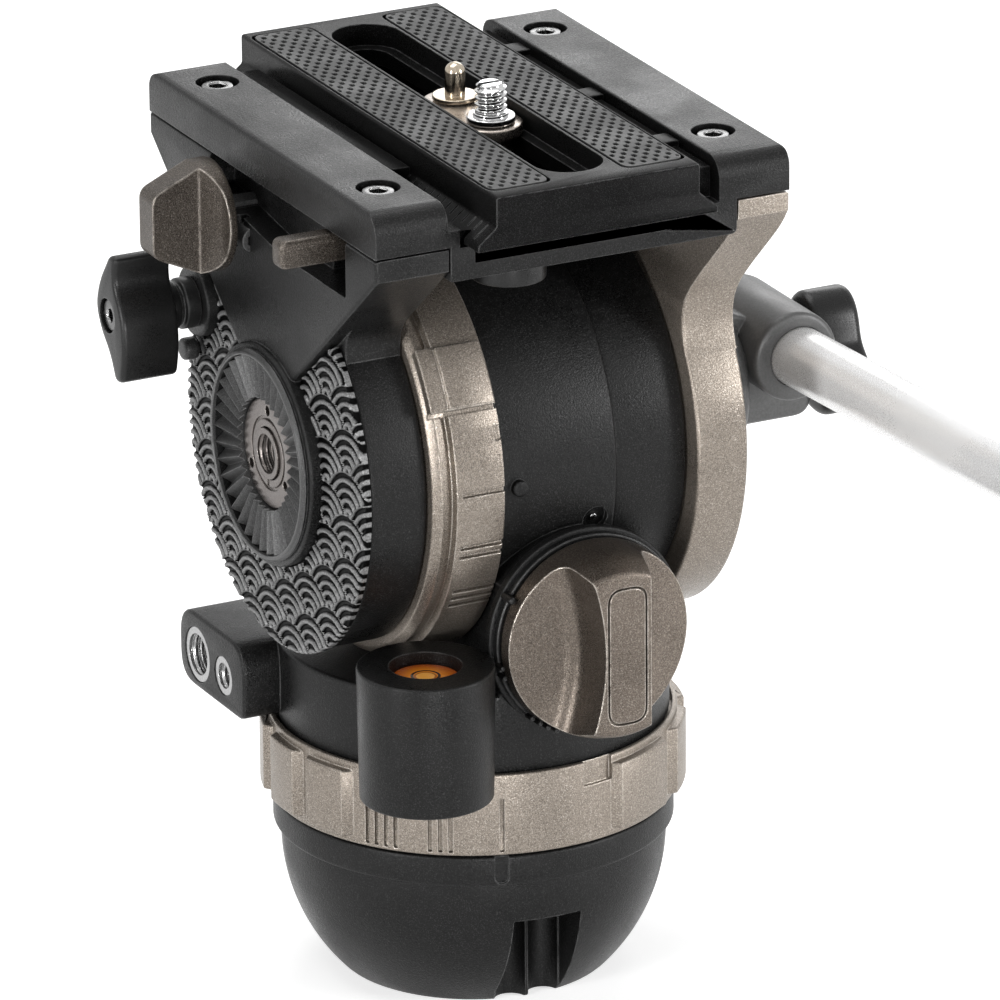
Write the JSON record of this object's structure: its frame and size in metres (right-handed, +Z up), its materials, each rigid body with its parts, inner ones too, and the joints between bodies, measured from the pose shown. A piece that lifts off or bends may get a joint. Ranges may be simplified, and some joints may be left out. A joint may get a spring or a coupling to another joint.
{
  "type": "fluid video head",
  "caption": "Two-axis fluid head for a tripod bowl: half ball, drag rings, counterbalance dial, side arms, sliding camera plate and rosette-mounted pan handle.",
  "frame": {"origin": "centre of the 75 mm half ball that sits in the tripod bowl", "axes": "+Z up along the pan axis, +X towards the silver arm and the pan handle, -Y towards the operator; the tilt axis is parallel to X, 83.8 mm above the origin"},
  "size_m": [0.1529, 0.3061, 0.1823],
  "materials": {
    "black_casting": "fine-textured black paint",
    "black_anodised": "satin black anodised",
    "champagne": "satin warm grey anodised",
    "dark_grey": "dark metallic grey with a faint printed wave pattern",
    "steel": "turned",
    "chrome": "polished",
    "nickel": "warm nickel plated",
    "brass": "turned",
    "black_rubber": "matte",
    "level_vial": "amber fluid under a clear lens",
    "black_plastic": "satin moulded",
    "handle_grey": "satin grey",
    "handle_silver": "satin silver anodised"
  },
  "bodies": {
    "ball_base": {"half_ball": "black_casting", "pan_spindle": "steel", "spindle_screw_1": "steel", "spindle_screw_2": "steel", "spindle_screw_3": "steel", "spindle_nut": "steel", "tie_down_insert": "steel", "pan_bearing": "steel"},
    "pan_ring": {"pan_drag_ring": "champagne", "pan_drag_cam": "brass"},
    "pan_body": {"body_casting": "black_casting", "pan_drag_cartridge": "dark_grey", "large_thread_insert": "chrome", "small_thread_insert": "chrome", "level_vial": "level_vial", "tilt_drag_cartridge": "dark_grey", "drum_cap": "black_casting", "tilt_bearing": "steel", "counterbalance_spring": "steel"},
    "dial": {"counterbalance_dial": "champagne"},
    "pan_lock": {"pan_lock_knob": "black_plastic"},
    "tilt_ring": {"tilt_drag_ring": "champagne", "tilt_drag_cam": "brass"},
    "tilt_frame": {"left_arm": "black_casting", "pattern_cover": "dark_grey", "left_rosette": "dark_grey", "hub_plate": "nickel", "hub_thread_insert": "steel", "stop_screw": "steel", "right_arm": "champagne", "right_rosette": "steel", "tilt_shaft": "steel", "platform": "black_casting", "cap_screw_1": "steel", "cap_screw_2": "steel", "cap_screw_3": "steel", "cap_screw_4": "steel", "floor_boss": "black_plastic", "fixed_jaw": "black_plastic", "lever_pin": "steel"},
    "jaw": {"moving_jaw": "black_anodised"},
    "plate_clamp": {"clamp_knob": "champagne", "clamp_screw": "steel"},
    "lever": {"release_lever": "champagne"},
    "tilt_lock": {"tilt_lock_knob": "black_plastic", "tilt_lock_screw": "steel"},
    "plate": {"camera_plate": "black_anodised", "left_pad": "black_rubber", "right_pad": "black_rubber"},
    "carriage": {"screw_carriage": "nickel", "locating_pin": "brass"},
    "camera_bolt": {"camera_screw": "chrome"},
    "handle": {"handle_clamp": "handle_grey", "clamp_rosette": "steel", "handle_tube": "handle_silver", "handle_grip": "black_rubber", "handle_end_cap": "black_plastic"},
    "handle_lock": {"handle_knob": "black_plastic", "handle_bolt": "steel"}
  },
  "joints": [
    {"name": "pan", "type": "hinge", "parent": "ball_base", "child": "pan_body", "pos_m": [0, 0, 0.02], "axis": [0, 0, 1], "continuous": true},
    {"name": "pan_drag", "type": "hinge", "parent": "ball_base", "child": "pan_ring", "pos_m": [0, 0, 0.017], "axis": [0, 0, 1], "range_deg": [-18, 36]},
    {"name": "tilt", "type": "hinge", "parent": "pan_body", "child": "tilt_frame", "pos_m": [0, 0, 0.0838], "axis": [1, 0, 0], "range_deg": [-75, 60]},
    {"name": "tilt_drag", "type": "hinge", "parent": "pan_body", "child": "tilt_ring", "pos_m": [-0.02, 0, 0.0838], "axis": [1, 0, 0], "range_deg": [-22, 22]},
    {"name": "counterbalance", "type": "hinge", "parent": "pan_body", "child": "dial", "pos_m": [0.0035, -0.05, 0.0539], "axis": [0, -1, 0], "range_deg": [-90, 90]},
    {"name": "pan_lock_turn", "type": "hinge", "parent": "pan_body", "child": "pan_lock", "pos_m": [0, 0, 0.033], "axis": [0.2588, 0.9659, 0], "range_deg": [0, 120]},
    {"name": "tilt_lock_turn", "type": "hinge", "parent": "tilt_frame", "child": "tilt_lock", "pos_m": [-0.05, 0.031, 0.105], "axis": [-1, 0, 0], "range_deg": [0, 90]},
    {"name": "plate_clamp_turn", "type": "hinge", "parent": "tilt_frame", "child": "plate_clamp", "pos_m": [-0.05, 0.0156, 0.128], "axis": [-1, 0, 0], "range_deg": [0, 115]},
    {"name": "jaw_slide", "type": "slide", "parent": "tilt_frame", "child": "jaw", "axis": [-1, 0, 0], "range_m": [0, 0.00142]},
    {"name": "lever_swing", "type": "hinge", "parent": "tilt_frame", "child": "lever", "pos_m": [-0.0364, -0.0278, 0.134], "axis": [0, 0, 1], "range_deg": [-20, 0], "stiffness_Nm_per_rad": 0.02},
    {"name": "plate_slide", "type": "slide", "parent": "tilt_frame", "child": "plate", "axis": [0, 1, 0], "range_m": [-0.03, 0.03]},
    {"name": "carriage_slide", "type": "slide", "parent": "plate", "child": "carriage", "axis": [0, 1, 0], "range_m": [-0.032, 0.038]},
    {"name": "camera_screw_turn", "type": "hinge", "parent": "carriage", "child": "camera_bolt", "pos_m": [0, -0.01, 0.147], "axis": [0, 0, 1], "continuous": true},
    {"name": "handle_angle", "type": "hinge", "parent": "tilt_frame", "child": "handle", "pos_m": [0.05, 0, 0.0838], "axis": [1, 0, 0], "range_deg": [-45, 60]},
    {"name": "handle_knob_turn", "type": "hinge", "parent": "handle", "child": "handle_lock", "pos_m": [0.075, 0, 0.0838], "axis": [1, 0, 0], "continuous": true}
  ],
  "couplings": [
    {"joint": "jaw_slide", "follows": "plate_clamp_turn", "m_per_rad": 0.0007}
  ]
}
